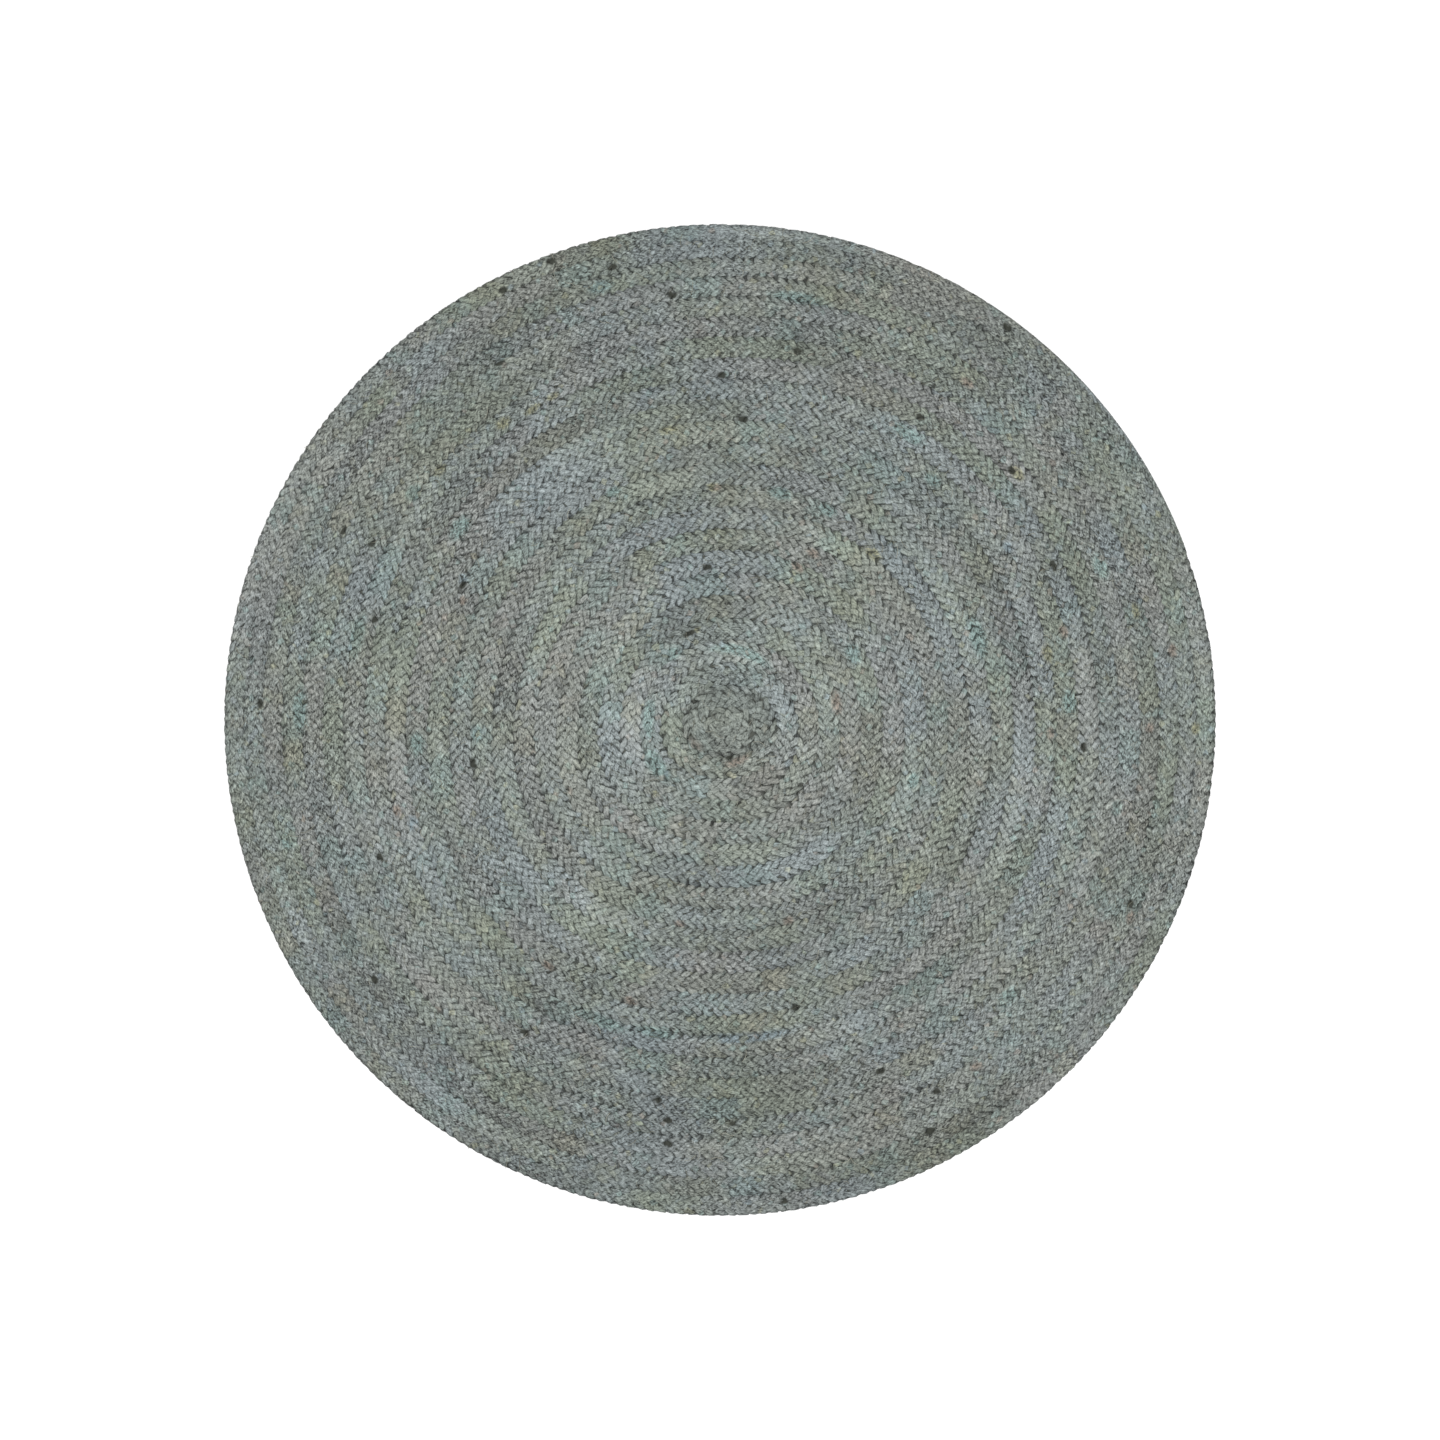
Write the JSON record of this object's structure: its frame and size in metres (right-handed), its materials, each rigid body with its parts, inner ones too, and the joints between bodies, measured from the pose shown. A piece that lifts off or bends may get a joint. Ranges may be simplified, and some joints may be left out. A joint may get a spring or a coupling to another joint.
{
  "type": "round braided jute rug",
  "caption": "Flat round rug of one jute braid, coiled from the middle outwards and sewn edge to edge, with a ribbed top, a rounded rim and a flat underside.",
  "frame": {"origin": "centre of the round underside, on the floor", "axes": "+Z up, through the rug's thickness; +X to the right and +Y up in the picture's straight-down view"},
  "size_m": [1.2, 1.2, 0.01],
  "materials": {
    "jute_braid": "dyed jute strands in grey-green with teal, straw and rust streaks, matt and fibrous"
  },
  "bodies": {
    "root": {"braided_rug": "jute_braid"}
  },
  "joints": []
}
